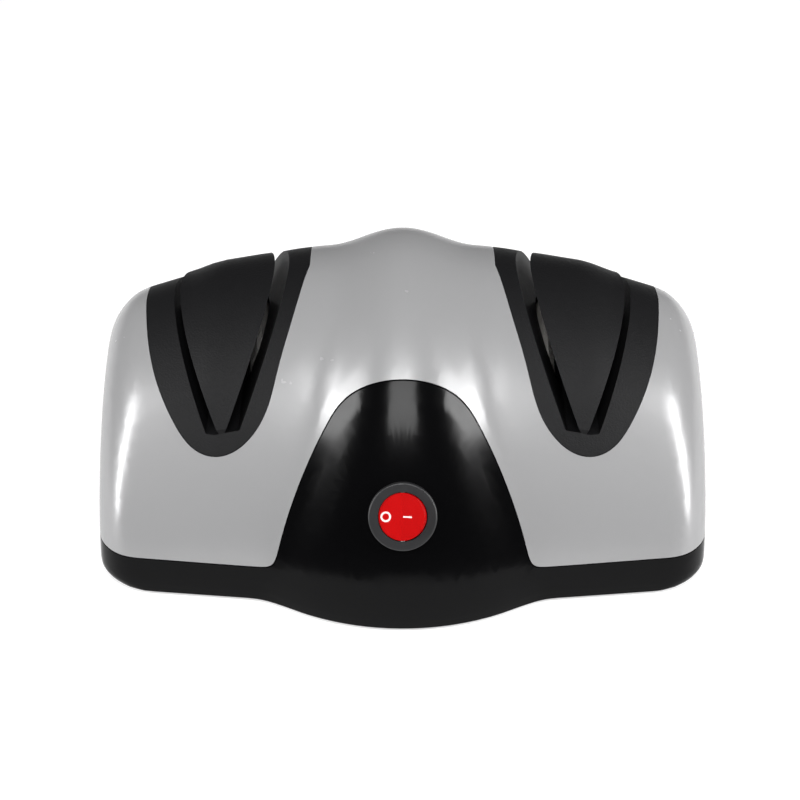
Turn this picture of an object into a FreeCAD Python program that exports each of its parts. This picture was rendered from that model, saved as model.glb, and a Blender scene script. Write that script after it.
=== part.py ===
"""Electric two-stage knife sharpener: silver cover with two wings, black base with a dome,
a slotted guide in each wing, a round rocker switch and a motor that turns four grinding discs.

Millimetres. +X is the user's right, +Y points to the rear, +Z is up. The origin is on the
surface that the feet stand on, under the middle of the bounding box.
"""

import FreeCAD, Part
import math
import os

V = FreeCAD.Vector

# Feet and housing form
foot_stand = 1.5            # how far the feet lift the housing
half_width = 106.0          # centre to the end of a wing
end_round = 14.0            # rounding of each wing end, in plan and over the shoulder
nose_y = -67.0              # foremost point of the dome, at the foot
nose_r = 78.5               # plan radius of the dome's foot
wing_front_y = -57.2        # front foot line of a wing, at the middle
wing_sweep = 0.104          # how fast that line runs back towards the ends
sweep_round = 10.0          # rounds the sweep at the middle
ridge_y = 25.5              # line of the highest points
rear_y = 65.5               # rear foot line, at the middle
rear_bow_r = 900.0          # plan radius of the rear
ridge_h = 89.0              # wing ridge over the housing's bottom, at the middle
ridge_bow_r = 250.0         # the ridge falls towards the ends on this radius
crest_h = 95.0              # hood crest over the housing's bottom
hood_r = 24.0               # cross radius of the hood at its crest
front_power = 1.6           # fullness of the front slope, 2 is an ellipse
rear_power = 2.5            # fullness of the rear
crease_round = 4.6          # rounding where the hood meets the wings
core_crease_round = 10.0    # the same, inside
wall = 2.5                  # housing wall
floor_t = 3.0               # base floor

# Parting line between cover and base
parting_h = 12.5            # height of the base strip
arch_top_h = 72.0           # top of the dome's arch
arch_crown_r = 29.3
arch_crown_half = 24.4      # half width where crown arc and leg arcs meet
arch_leg_x = 42.3           # leg foot, before its corner
arch_leg_h = 19.0
arch_corner_x = 50.5        # where the corner ends in the strip's edge
arch_depth_y = -5.0         # the arch is cut from the front back to here
seam = 0.35                 # shadow gap between cover and base
lip_t = 1.4                 # lip of the base behind the cover's edge
lip_h = 3.0
lip_clear = 0.1

# Guide inserts, given for the left wing
station_x = -61.8
insert_side = 29.3          # half width at the ridge
insert_t = 3.0
insert_gap = 0.25           # shadow gap round an insert
insert_front = [(-88.8, 6.5), (-85.1, -7.5), (-78.7, -19.9), (-72.0, -27.2), (-63.5, -30.4),
                (-54.5, -29.2), (-47.5, -24.0), (-42.4, -11.5), (-38.4, 1.5)]
insert_rear_mid_h = 62.0
insert_rear_low_h = 38.0
slot_w = 4.8                # along X
slot_floor_h = 50.5
slot_front_y = -25.5
slot_datum_h = 60.0         # the slots' places along X are given at this height
slot_outer_x = -69.7
slot_outer_tilt = 28.4
slot_inner_x = -54.2
slot_inner_tilt = 24.6
guide_wall = 1.6
wedge_rise = 4.2            # the wedge stands proud of the wing here, at its outer side
wedge_x_in = -43.0
wedge_x_out = -80.0

# Drive train, on a shaft along X
shaft_h = 42.0
shaft_r = 3.0
shaft_end_x = 84.0
shaft_flat = 2.5
run_clear = 0.05
disc_r = 26.0
disc_t = 6.0
disc_bevel = 1.8
disc_inner_x = 50.5
disc_outer_x = 74.0
disc_travel = 1.2
disc_window_r = 27.2
disc_window_side = 1.4
hub_r = 7.0
hub_flange_r = 11.0
hub_flange_t = 1.5
hub_len = 8.0
seat_gap = 0.1              # axial play at a seat
spring_r = 6.0
spring_t = 1.0
spacer_r = 5.0
clip_r = 5.5
clip_t = 1.2
motor_r = 22.0
motor_can_t = 1.5
motor_half = 26.0
bell_t = 2.0
bell_boss_r = 7.5
bell_boss_t = 5.0
bush_r = 5.5
magnet_t = 5.0
magnet_half_angle = 65.0
air_gap = 0.6
rotor_half = 15.0
rotor_slots = 8
rotor_slot_w = 2.4
commutator_r = 6.0
commutator_x = 17.5
commutator_len = 6.0
brush_w = 4.0
brush_len = 8.0
fan_r = 17.0
fan_hub_r = 6.0
fan_x = 34.5
fan_t = 6.0
fan_blades = 8
saddle_x = 18.0
saddle_t = 5.0
strap_t = 1.6
strap_clear = 0.3
strap_ear = 9.0
clamp_screw_r = 1.5

# Round rocker switch on the dome
switch_h = 38.0             # height of its centre over the housing's bottom
bezel_r = 11.5
bezel_t = 2.0
bezel_edge = 0.7
switch_body_r = 9.9
switch_body_len = 17.0
switch_hole_clear = 0.15
rocker_r = 8.1
rocker_clear = 0.3
pivot_drop = 1.6            # pivot below the bezel's face
rocker_angle = 10.0         # each way from the middle
rocker_mid_h = 1.2
rocker_low_h = 4.5
pin_r = 1.0
terminal_w = 4.8
terminal_t = 0.8
terminal_len = 8.0
terminal_pitch = 6.5

# Circuit board, gland, feet and screws
board_x = 46.0
board_y0 = -33.0
board_w = 26.0
board_t = 1.6
board_lift = 4.0
post_r = 3.0
gland_h = 7.0
gland_flange_r = 4.6
gland_body_r = 3.7
gland_bore_r = 2.6
gland_len = 8.0
gland_flange_t = 1.5
foot_r = 8.0
foot_recess = 1.5
foot_x = 80.0
foot_front_y = -32.0
foot_rear_y = 46.0
boss_r = 4.0
boss_x = 95.5
boss_front_y = -20.0
boss_rear_y = 47.0
cup_r = 5.5
cup_h = 7.0
screw_r = 1.5
screw_head_r = 3.0
screw_head_t = 2.2
screw_len = 16.0

FAR = 300.0


def box(x0, x1, y0, y1, z0, z1):
    """A box between two corners."""
    return Part.makeBox(x1 - x0, y1 - y0, z1 - z0, V(x0, y0, z0))


def rod_x(radius, x0, x1, y=ridge_y, z=foot_stand + shaft_h):
    """A round rod along X, by default on the shaft's axis."""
    return Part.makeCylinder(radius, x1 - x0, V(x0, y, z), V(1, 0, 0))


def rod_z(radius, x, y, z0, z1):
    """A round rod along Z."""
    return Part.makeCylinder(radius, z1 - z0, V(x, y, z0))


def revolved_x(profile):
    """Revolves a profile of (x, radius) points round the shaft's axis."""
    z = foot_stand + shaft_h
    wire = Part.makePolygon([V(x, ridge_y, z + r) for x, r in profile + profile[:1]])
    return Part.Face(wire).revolve(V(0, ridge_y, z), V(1, 0, 0), 360)


def mirrored(shape):
    """The same shape on the other side of the middle."""
    return shape.mirror(V(0, 0, 0), V(1, 0, 0))


def both_sides(shape):
    """A left shape and its mirror image, as one group of separate solids."""
    return Part.makeCompound([shape, mirrored(shape)])


def fused(shapes):
    """One solid from overlapping or touching ones."""
    return shapes[0].multiFuse(shapes[1:]).removeSplitter()


# Housing form: polar sections round the ridge line, from the front foot over to the rear foot

def smooth_max(a, b, width):
    """The larger of two radii, rounded where they cross."""
    mix = min(max(0.5 + 0.5 * (a - b) / width, 0.0), 1.0)
    return b * (1 - mix) + a * mix + width * mix * (1 - mix)


def quarter(c, s, reach, height, power):
    """Radius of a superellipse quarter with a horizontal reach and a height."""
    return ((abs(c) / reach) ** power + (s / height) ** power) ** (-1.0 / power)


def wedge_lift(x, angle, rise):
    """How far the wedge's top stands proud of the wing, nothing at the slots' ends."""
    side = min(max((abs(x) + wedge_x_in) / (wedge_x_in - wedge_x_out), 0.0), 1.3)
    along = min(max(1.35 * math.sin(angle) - 0.55, 0.0) / 0.8, 1.0)
    return rise * side * along * along * (3 - 2 * along)


def section(x, inset, shoulder, crease, steps, rise=0.0):
    """Points of the skin at one X, moved in by the inset, and more at a rounded end."""
    drop = inset + shoulder
    front = ridge_y - wing_front_y - wing_sweep * math.hypot(x, sweep_round) - drop
    rear = rear_y - x * x / (2 * rear_bow_r) - ridge_y - drop
    height = ridge_h - x * x / (2 * ridge_bow_r) - drop
    nose_x = min(abs(x), 0.9 * nose_r)
    nose = nose_y + nose_r - math.sqrt(nose_r ** 2 - nose_x ** 2)
    hood_front = max(ridge_y - nose - inset, 0.3 * nose_r)
    hood_height = max(crest_h - x * x / (2 * hood_r) - inset, 0.3 * crest_h)
    points = []
    for k in range(steps + 1):
        angle = math.pi * (1 - k / steps)
        c = math.cos(angle)
        s = math.sin(angle) if 0 < k < steps else 0.0
        if c <= 0:
            wing = quarter(c, s, front, height, front_power)
            hood = quarter(c, s, hood_front, hood_height, front_power)
        else:
            wing = quarter(c, s, rear, height, rear_power)
            hood = quarter(c, s, rear, hood_height, rear_power)
        r = smooth_max(wing, hood, crease) + wedge_lift(x, angle, rise)
        points.append(V(x, ridge_y + r * c, foot_stand + r * s))
    return points


def stations(inset, middle, end):
    """(x, shoulder drop) of each section: even across the middle, on a quarter circle at the ends."""
    straight = half_width - end_round
    turn = end_round - inset
    tip = []
    for k in range(1, end + 1):
        a = math.pi / 2 * k / end
        tip.append((straight + turn * math.sin(a), turn * (1 - math.cos(a))))
    mid = [(straight * (2 * k / middle - 1), 0.0) for k in range(middle + 1)]
    return [(-x, d) for x, d in reversed(tip)] + mid + tip


def closed_by_planes(skin):
    """Closes a skin with its flat bottom and its two flat ends."""
    caps = []
    feet = []
    for edge in skin.Edges:
        if edge.BoundBox.XLength < 0.01:
            chord = Part.LineSegment(edge.Vertexes[0].Point, edge.Vertexes[-1].Point).toShape()
            caps.append(Part.Face(Part.Wire([edge, chord])))
        else:
            feet.append(edge)
    sides = []
    for side in (-1, 1):
        ends = [max((v.Point for v in f.Vertexes), key=lambda p: p.x * side) for f in feet]
        sides.append(Part.LineSegment(ends[0], ends[1]).toShape())
    bottom = Part.Face(Part.Wire(Part.__sortEdges__(feet + sides)))
    solid = Part.makeSolid(Part.makeShell([skin, bottom] + caps))
    if solid.Volume < 0:
        solid.reverse()
    return solid


def skin_solid(inset=0.0, rise=0.0):
    """The housing's outer form as one smooth solid."""
    rows = [section(x, inset, d, crease_round, 30, rise) for x, d in stations(inset, 38, 5)]
    surface = Part.BSplineSurface()
    surface.interpolate(rows)
    return closed_by_planes(surface.toShape())


def core_solid(inset):
    """The inner form: the same sections, ruled between fewer stations."""
    steps = 16
    wires = []
    for x, d in stations(inset, 12, 2):
        points = section(x, inset, d, core_crease_round, steps)
        curve = Part.BSplineCurve()
        curve.interpolate(Points=points, Parameters=[k / steps for k in range(steps + 1)])
        wires.append(Part.Wire([curve.toShape(), Part.LineSegment(points[-1], points[0]).toShape()]))
    return Part.makeLoft(wires, True, True)


# Parting line

def arch_wire(grow):
    """Outline of the base as seen from the front, moved out by grow."""
    base = foot_stand
    strip = base + parting_h + grow
    top = base + arch_top_h + grow
    crown_angle = math.asin(arch_crown_half / arch_crown_r)
    crown_r = arch_crown_r + grow
    centre = base + arch_top_h - arch_crown_r
    meet = V(crown_r * math.sin(crown_angle), 0, centre + crown_r * math.cos(crown_angle))
    leg = V(arch_leg_x + grow, 0, base + arch_leg_h)
    chord = leg - meet
    half_turn = math.atan2(-chord.z, chord.x) - crown_angle
    bulge = chord.Length / 2 * math.tan(half_turn / 2)
    normal = V(-chord.z, 0, chord.x).normalize()
    middle = (meet + leg) * 0.5 + normal * bulge
    corner = V(arch_corner_x + grow, 0, strip)
    out = V(math.cos(crown_angle + 2 * half_turn), 0, -math.sin(crown_angle + 2 * half_turn))
    reach = (leg - corner).Length * 0.55
    foot = Part.BezierCurve()
    foot.setPoles([leg, leg + out * reach, corner - V(reach, 0, 0), corner])
    right = [Part.Arc(meet, middle, leg).toShape(), foot.toShape()]
    left = [mirrored(edge) for edge in right]
    crown = Part.Arc(V(-meet.x, 0, meet.z), V(0, 0, top), meet).toShape()
    far = [V(corner.x, 0, strip), V(FAR, 0, strip), V(FAR, 0, -FAR), V(-FAR, 0, -FAR),
           V(-FAR, 0, strip), V(-corner.x, 0, strip)]
    lines = [Part.LineSegment(a, b).toShape() for a, b in zip(far, far[1:])]
    return Part.Wire(Part.__sortEdges__(left + [crown] + right + lines))


def base_region(grow=0.0):
    """Everything below the parting line: the strip all round and the arch at the front."""
    face = Part.Face(arch_wire(grow))
    face.translate(V(0, -FAR, 0))
    front = face.extrude(V(0, FAR + arch_depth_y, 0))
    strip = box(-FAR, FAR, arch_depth_y - 1, FAR, -FAR, foot_stand + parting_h + grow)
    return front.fuse(strip)


# Guide inserts

def insert_prism(shrink):
    """The cut-out of a wing: its front in plan, its rear as seen from behind."""
    mid_y = ridge_y
    points = [V(station_x - insert_side + shrink, mid_y, 0)]
    for x, y in insert_front:
        away = V(x - station_x, y - mid_y, 0)
        points.append(V(x, y, 0) - away.normalize() * shrink)
    points.append(V(station_x + insert_side - shrink, mid_y, 0))
    curve = Part.BSplineCurve()
    curve.interpolate(points)
    closing = Part.LineSegment(points[-1], points[0]).toShape()
    front = Part.Face(Part.Wire([curve.toShape(), closing])).extrude(V(0, 0, FAR))
    side = insert_side - shrink
    z_mid = foot_stand + insert_rear_mid_h
    z_low = foot_stand + insert_rear_low_h + shrink
    left = V(station_x - side, mid_y, z_mid)
    right = V(station_x + side, mid_y, z_mid)
    low = V(station_x, mid_y, z_low)
    lift = z_mid - z_low
    bend = Part.BSplineCurve()
    bend.interpolate([left, V(station_x - 0.7071 * side, mid_y, z_mid - 0.7071 * lift), low,
                      V(station_x + 0.7071 * side, mid_y, z_mid - 0.7071 * lift), right])
    top_left = left + V(0, 0, FAR)
    top_right = right + V(0, 0, FAR)
    edges = [bend.toShape()]
    for a, b in ((right, top_right), (top_right, top_left), (top_left, left)):
        edges.append(Part.LineSegment(a, b).toShape())
    rear = Part.Face(Part.Wire(edges)).extrude(V(0, FAR, 0))
    return front.fuse(rear)


def slot_x(h, datum_x, tilt):
    """Middle of a slot at a height over the housing's bottom."""
    lean = math.tan(math.radians(tilt))
    outward = -1 if datum_x < station_x else 1
    return datum_x + outward * lean * (h - slot_datum_h)


def slot_prism(datum_x, tilt, grow, floor_h, y0, y1):
    """A leaning slot, or with grow its guide walls, from a floor height upwards."""
    half = slot_w / 2 + grow
    top_h = 130.0
    low = slot_x(floor_h, datum_x, tilt)
    high = slot_x(top_h, datum_x, tilt)
    outline = [V(low - half, y0, foot_stand + floor_h), V(low + half, y0, foot_stand + floor_h),
               V(high + half, y0, foot_stand + top_h), V(high - half, y0, foot_stand + top_h)]
    return Part.Face(Part.makePolygon(outline + outline[:1])).extrude(V(0, y1 - y0, 0))


SLOTS = ((slot_outer_x, slot_outer_tilt), (slot_inner_x, slot_inner_tilt))


def wedge_prism():
    """The space between the two slots, where the wedge stands."""
    low_h, top_h = slot_floor_h, 130.0
    corners = []
    for h, order in ((low_h, (0, 1)), (top_h, (1, 0))):
        for k in order:
            datum_x, tilt = SLOTS[k]
            side = 1 if k == 0 else -1
            x = slot_x(h, datum_x, tilt) + side * slot_w / 2
            corners.append(V(x, slot_front_y, foot_stand + h))
    return Part.Face(Part.makePolygon(corners + corners[:1])).extrude(V(0, FAR, 0))


def guide_insert(skin, proud_skin, core):
    """One guide insert: face plate, proud wedge, guide walls and the two knife slots."""
    prism = insert_prism(insert_gap)
    plate = skin.common(prism).cut(core)
    wedge = proud_skin.common(wedge_prism()).common(prism).cut(core)
    walls = []
    for datum_x, tilt in SLOTS:
        y0 = slot_front_y - guide_wall
        walls.append(slot_prism(datum_x, tilt, guide_wall, slot_floor_h - guide_wall, y0, FAR))
    walls = walls[0].fuse(walls[1]).common(skin).common(prism)
    body = plate.multiFuse([wedge, walls])
    for datum_x, tilt in SLOTS:
        body = body.cut(slot_prism(datum_x, tilt, 0.0, slot_floor_h, slot_front_y, FAR))
    for x in (-disc_outer_x, -disc_inner_x):
        side = disc_t / 2 + disc_window_side
        body = body.cut(rod_x(disc_window_r, x - side, x + side))
    body = body.cut(rod_x(hub_flange_r + 1.0, -disc_outer_x - 8, -disc_inner_x + 8))
    return max(body.Solids, key=lambda solid: solid.Volume)


# Switch, built round its own axis and then set on the dome

def switch_place():
    """Where the switch axis meets the dome, and the outward direction there."""
    points = [p for p in section(0.0, 0.0, 0.0, crease_round, 240) if p.y < ridge_y]
    k = min(range(1, len(points) - 1), key=lambda i: abs(points[i].z - foot_stand - switch_h))
    along = points[k + 1] - points[k - 1]
    return points[k], V(0, -along.z, along.y).normalize()


def set_on_dome(shape):
    """Moves a shape built on Z, with the bezel's seat at 0, to the switch's place."""
    point, out = switch_place()
    sink = nose_r - math.sqrt(nose_r ** 2 - bezel_r ** 2)
    placed = shape.copy()
    placed.rotate(V(0, 0, 0), V(1, 0, 0), math.degrees(math.atan2(-out.y, out.z)))
    placed.translate(point - out * sink * 0.6)
    return placed


def switch_housing():
    """Bezel, body and the round well that the rocker tips in."""
    flange = Part.makeCylinder(bezel_r, bezel_t)
    rim = [e for e in flange.Edges if abs(e.BoundBox.ZMin - bezel_t) < 0.01 and e.BoundBox.ZLength < 0.01]
    flange = flange.makeFillet(bezel_edge, rim)
    body = Part.makeCylinder(switch_body_r, switch_body_len, V(0, 0, -switch_body_len))
    pivot = bezel_t - pivot_drop
    well_r = rocker_r + rocker_clear
    well = Part.makeSphere(well_r, V(0, 0, pivot))
    shaft = Part.makeCylinder(well_r, rocker_low_h + 4, V(0, 0, pivot - rocker_low_h - 4))
    pin_hole = Part.makeCylinder(pin_r, 2 * (well_r + 1.0), V(0, -well_r - 1.0, pivot), V(0, 1, 0))
    return flange.fuse(body).cut(well).cut(shaft).cut(pin_hole)


def switch_rocker():
    """Round rocker with a shallow V across its top, drawn level and then tipped to off."""
    pivot = bezel_t - pivot_drop
    ball = Part.makeSphere(rocker_r, V(0, 0, pivot))
    rise = math.tan(math.radians(rocker_angle)) * rocker_r
    mid = pivot + rocker_mid_h
    low = pivot - rocker_low_h
    outline = [V(-rocker_r, 0, low), V(rocker_r, 0, low), V(rocker_r, 0, mid + rise),
               V(0, 0, mid), V(-rocker_r, 0, mid + rise)]
    profile = Part.Face(Part.makePolygon(outline + outline[:1]))
    profile.translate(V(0, -rocker_r, 0))
    bar = profile.extrude(V(0, 2 * rocker_r, 0))
    bore = Part.makeCylinder(pin_r + run_clear, 2 * rocker_r, V(0, -rocker_r, pivot), V(0, 1, 0))
    rocker = ball.common(bar).cut(bore)
    rocker.rotate(V(0, 0, pivot), V(0, 1, 0), -rocker_angle)
    return rocker


def rocker_pin():
    """Pin across the well that the rocker tips on."""
    reach = rocker_r + rocker_clear + 1.0
    return Part.makeCylinder(pin_r, 2 * reach, V(0, -reach, bezel_t - pivot_drop), V(0, 1, 0))


def switch_terminals():
    """Three blade terminals under the switch body."""
    blades = []
    for k in (-1, 0, 1):
        z1 = -switch_body_len
        blades.append(box(k * terminal_pitch - terminal_t / 2, k * terminal_pitch + terminal_t / 2,
                          -terminal_w / 2, terminal_w / 2, z1 - terminal_len, z1))
    return Part.makeCompound(blades)


# Housing parts

def top_cover(skin, core):
    """Silver cover: wings, hood, cut-outs for the inserts and four screw posts."""
    shell = skin.cut(core).cut(base_region())
    cut_out = insert_prism(0.0)
    shell = shell.cut(cut_out).cut(mirrored(cut_out))
    posts = []
    for x, y in boss_places():
        post = rod_z(boss_r, x, y, foot_stand + cup_h, FAR).common(skin_inner)
        posts.append(post.cut(rod_z(screw_r, x, y, 0, foot_stand + screw_len)))
    return shell.multiFuse(posts)


def boss_places():
    """Where the cover is screwed to the base."""
    return [(s * boss_x, y) for s in (-1, 1) for y in (boss_front_y, boss_rear_y)]


def foot_places():
    """Where the rubber feet sit."""
    return [(s * foot_x, y) for s in (-1, 1) for y in (foot_front_y, foot_rear_y)]


def base_housing(skin, core):
    """Black base: tub with floor, dome, lip, screw cups, motor saddles and board posts."""
    tub = skin.cut(core).common(base_region(-seam))
    plate = skin.common(box(-FAR, FAR, -FAR, FAR, foot_stand, foot_stand + floor_t))
    ledge = core_solid(wall - 0.3).cut(core_solid(wall + lip_clear + lip_t))
    ledge = ledge.common(base_region(-seam)).cut(base_region(-seam - lip_h))
    lip = core_solid(wall + lip_clear).cut(core_solid(wall + lip_clear + lip_t))
    lip = lip.common(base_region(lip_h)).cut(base_region(-seam - lip_h))
    pieces = [tub, plate, ledge, lip]
    for x, y in boss_places():
        pieces.append(rod_z(cup_r, x, y, foot_stand, foot_stand + cup_h).common(skin_inner))
    for x in (-saddle_x, saddle_x):
        half = motor_r + strap_clear + strap_ear
        pieces.append(box(x - saddle_t / 2, x + saddle_t / 2, ridge_y - half, ridge_y + half,
                          foot_stand, foot_stand + shaft_h))
    for x, y in board_posts():
        pieces.append(rod_z(post_r, x, y, foot_stand, foot_stand + floor_t + board_lift))
    point, out = switch_place()
    pad = Part.makeCylinder(bezel_r + 1.5, 5.0, V(0, 0, -5.0))
    pieces.append(set_on_dome(pad).common(skin_inner))
    body = tub.multiFuse(pieces[1:])
    for x, y in boss_places():
        body = body.cut(rod_z(screw_r + 0.2, x, y, 0, FAR).common(box(-FAR, FAR, -FAR, FAR, 0, foot_stand + cup_h)))
        body = body.cut(rod_z(screw_head_r + 0.3, x, y, 0, foot_stand + cup_h - 2.0))
    for x, y in foot_places():
        body = body.cut(rod_z(foot_r + 0.1, x, y, 0, foot_stand + foot_recess))
    body = body.cut(rod_x(motor_r + strap_clear, -FAR / 2, FAR / 2).common(
        box(-saddle_x - saddle_t, saddle_x + saddle_t, -FAR, FAR, 0, FAR)))
    for x, y in clamp_screw_places():
        body = body.cut(rod_z(clamp_screw_r, x, y, foot_stand + shaft_h - 10, foot_stand + shaft_h))
    for x, y in board_posts():
        body = body.cut(rod_z(0.9, x, y, foot_stand + floor_t, foot_stand + floor_t + board_lift))
    body = body.cut(set_on_dome(Part.makeCylinder(bezel_r + 0.15, 12.0)))
    body = body.cut(set_on_dome(Part.makeCylinder(switch_body_r + switch_hole_clear, 30.0, V(0, 0, -15.0))))
    body = body.cut(gland_rod(gland_flange_r + 0.1, gland_seat_y(), FAR))
    body = body.cut(gland_rod(gland_body_r + 0.1, gland_seat_y() - gland_len, FAR))
    return max(body.Solids, key=lambda solid: solid.Volume)


def gland_rod(radius, y0, y1):
    """A round rod along Y on the cord inlet's axis."""
    return Part.makeCylinder(radius, y1 - y0, V(0, y0, foot_stand + gland_h), V(0, 1, 0))


def gland_seat_y():
    """The flat that the gland's flange sits on, in the rear wall."""
    return rear_y - 0.6


def cord_gland():
    """Rubber inlet for the cord: flange outside, groove in the wall, collar inside."""
    seat = gland_seat_y()
    flange = gland_rod(gland_flange_r, seat, rear_y + gland_flange_t)
    body = gland_rod(gland_body_r, seat - gland_len, seat)
    return flange.fuse(body).cut(gland_rod(gland_bore_r, 0, FAR))


def rubber_feet():
    """Four round feet with a hollow underside, in recesses of the floor."""
    feet = []
    top = foot_stand + foot_recess
    for x, y in foot_places():
        foot = rod_z(foot_r, x, y, 0, top)
        feet.append(foot.cut(Part.makeCone(foot_r - 2.0, foot_r - 4.0, 1.0, V(x, y, 0))))
    return Part.makeCompound(feet)


def cover_screws():
    """Four pan head screws from below, through the base's cups into the cover's posts."""
    screws = []
    seat = foot_stand + cup_h - 2.0
    for x, y in boss_places():
        head = rod_z(screw_head_r, x, y, seat - screw_head_t, seat)
        screws.append(head.fuse(rod_z(screw_r, x, y, seat, foot_stand + screw_len)))
    return Part.makeCompound(screws)


# Motor and drive

def motor_can():
    """Deep drawn steel can."""
    tube = rod_x(motor_r, -motor_half, motor_half)
    return tube.cut(rod_x(motor_r - motor_can_t, -motor_half, motor_half))


def motor_bell(side):
    """End bell with a bearing boss, closing the can on one side."""
    x0 = motor_half
    profile = [(x0, bush_r), (x0, motor_r), (x0 + bell_t, motor_r), (x0 + bell_t, bell_boss_r),
               (x0 + bell_boss_t, bell_boss_r), (x0 + bell_boss_t, bush_r)]
    bell = revolved_x(profile)
    for k in range(6):
        a = math.radians(30 + 60 * k)
        y = ridge_y + 14.5 * math.cos(a)
        z = foot_stand + shaft_h + 14.5 * math.sin(a)
        bell = bell.cut(rod_x(2.5, x0 - 1, x0 + bell_t + 1, y, z))
    return bell if side > 0 else mirrored(bell)


def bearing_bush(side):
    """Sintered bush in a bell's boss."""
    x0 = motor_half
    bush = rod_x(bush_r, x0, x0 + bell_boss_t).cut(rod_x(shaft_r + run_clear, x0, x0 + bell_boss_t))
    return bush if side > 0 else mirrored(bush)


def stator_magnets():
    """Two arc magnets bonded inside the can."""
    outer = motor_r - motor_can_t
    z = foot_stand + shaft_h
    magnets = []
    for start in (90 - magnet_half_angle, 270 - magnet_half_angle):
        wedge = Part.makeCylinder(outer, 2 * rotor_half + 4, V(-rotor_half - 2, ridge_y, z), V(1, 0, 0),
                                  2 * magnet_half_angle)
        wedge.rotate(V(0, ridge_y, z), V(1, 0, 0), start)
        magnets.append(wedge.cut(rod_x(outer - magnet_t, -FAR, FAR)))
    return Part.makeCompound(magnets)


def rotor_core():
    """Slotted lamination stack on the shaft."""
    radius = motor_r - motor_can_t - magnet_t - air_gap
    core = rod_x(radius, -rotor_half, rotor_half)
    z = foot_stand + shaft_h
    for k in range(rotor_slots):
        slot = box(-rotor_half, rotor_half, ridge_y - rotor_slot_w / 2, ridge_y + rotor_slot_w / 2,
                   z + radius * 0.55, z + radius + 1)
        slot.rotate(V(0, ridge_y, z), V(1, 0, 0), 360.0 * k / rotor_slots)
        core = core.cut(slot)
    return core.cut(rod_x(shaft_r, -rotor_half, rotor_half))


def commutator():
    """Copper commutator beside the rotor core."""
    ring = rod_x(commutator_r, -commutator_x - commutator_len, -commutator_x)
    return ring.cut(rod_x(shaft_r, -FAR, FAR))


def brush_boxes():
    """Two brush boxes on the inside of the can, over and under the commutator."""
    z = foot_stand + shaft_h
    x_mid = -commutator_x - commutator_len / 2
    pieces = []
    for k in (-1, 1):
        low = commutator_r + brush_len * 0.45
        high = motor_r - motor_can_t - 0.7
        shell = box(x_mid - 3.0, x_mid + 3.0, ridge_y - 3.0, ridge_y + 3.0, z + low, z + high)
        hole = box(x_mid - brush_w / 2, x_mid + brush_w / 2, ridge_y - brush_w / 2, ridge_y + brush_w / 2,
                   z + low, z + high)
        piece = shell.cut(hole)
        if k < 0:
            piece.rotate(V(0, ridge_y, z), V(1, 0, 0), 180)
        pieces.append(piece)
    return Part.makeCompound(pieces)


def carbon_brushes():
    """Two carbon brushes that ride on the commutator."""
    z = foot_stand + shaft_h
    x_mid = -commutator_x - commutator_len / 2
    brushes = []
    for k in (-1, 1):
        brush = box(x_mid - brush_w / 2, x_mid + brush_w / 2, ridge_y - brush_w / 2, ridge_y + brush_w / 2,
                    z, z + commutator_r + brush_len)
        brush = brush.cut(rod_x(commutator_r + 0.3, -FAR, FAR))
        if k < 0:
            brush.rotate(V(0, ridge_y, z), V(1, 0, 0), 180)
        brushes.append(brush)
    return Part.makeCompound(brushes)


def drive_shaft():
    """Through shaft with a flat at each end for the discs."""
    shaft = rod_x(shaft_r, -shaft_end_x, shaft_end_x)
    flat_from = disc_inner_x - hub_len / 2 - disc_travel
    z = foot_stand + shaft_h
    for side in (-1, 1):
        x0, x1 = sorted((side * flat_from, side * shaft_end_x))
        shaft = shaft.cut(box(x0, x1, ridge_y - shaft_r, ridge_y + shaft_r, z + shaft_flat, z + shaft_r))
        groove = sorted((side * clip_x(), side * (clip_x() + clip_t)))
        ring = rod_x(shaft_r, groove[0], groove[1]).cut(rod_x(shaft_r - 0.6, groove[0], groove[1]))
        shaft = shaft.cut(ring)
    return shaft


def clip_x():
    """Inner face of an end clip."""
    return disc_outer_x + hub_len / 2 + seat_gap


def spacer_sleeves():
    """Two sleeves between the motor's bushes and the inner discs, the right one past the fan."""
    end = disc_inner_x - hub_len / 2 - seat_gap
    bore = rod_x(shaft_r, -FAR, FAR)
    left = rod_x(spacer_r, -end, -motor_half - bell_boss_t - 0.5).cut(bore)
    right = rod_x(spacer_r, fan_x + fan_t, end).cut(bore)
    return Part.makeCompound([left, right])


def end_clips():
    """Two retaining clips in the grooves near the shaft's ends."""
    clip = rod_x(clip_r, clip_x(), clip_x() + clip_t).cut(rod_x(shaft_r - 0.6, -FAR, FAR))
    z = foot_stand + shaft_h
    opening = box(clip_x(), clip_x() + clip_t, ridge_y - 1.8, ridge_y + 1.8, z - clip_r, z)
    clip = clip.cut(opening)
    return both_sides(clip)


def cooling_fan():
    """Radial fan on the shaft, beside the motor."""
    z = foot_stand + shaft_h
    blades = [rod_x(fan_hub_r, fan_x - 3.0, fan_x + fan_t), rod_x(fan_r, fan_x, fan_x + 1.2)]
    for k in range(fan_blades):
        blade = box(fan_x, fan_x + fan_t, ridge_y - 0.6, ridge_y + 0.6, z + fan_hub_r - 1, z + fan_r - 0.3)
        blade.rotate(V(0, ridge_y, z), V(1, 0, 0), 360.0 * k / fan_blades)
        blades.append(blade)
    return fused(blades).cut(rod_x(shaft_r, -FAR, FAR))


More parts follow.
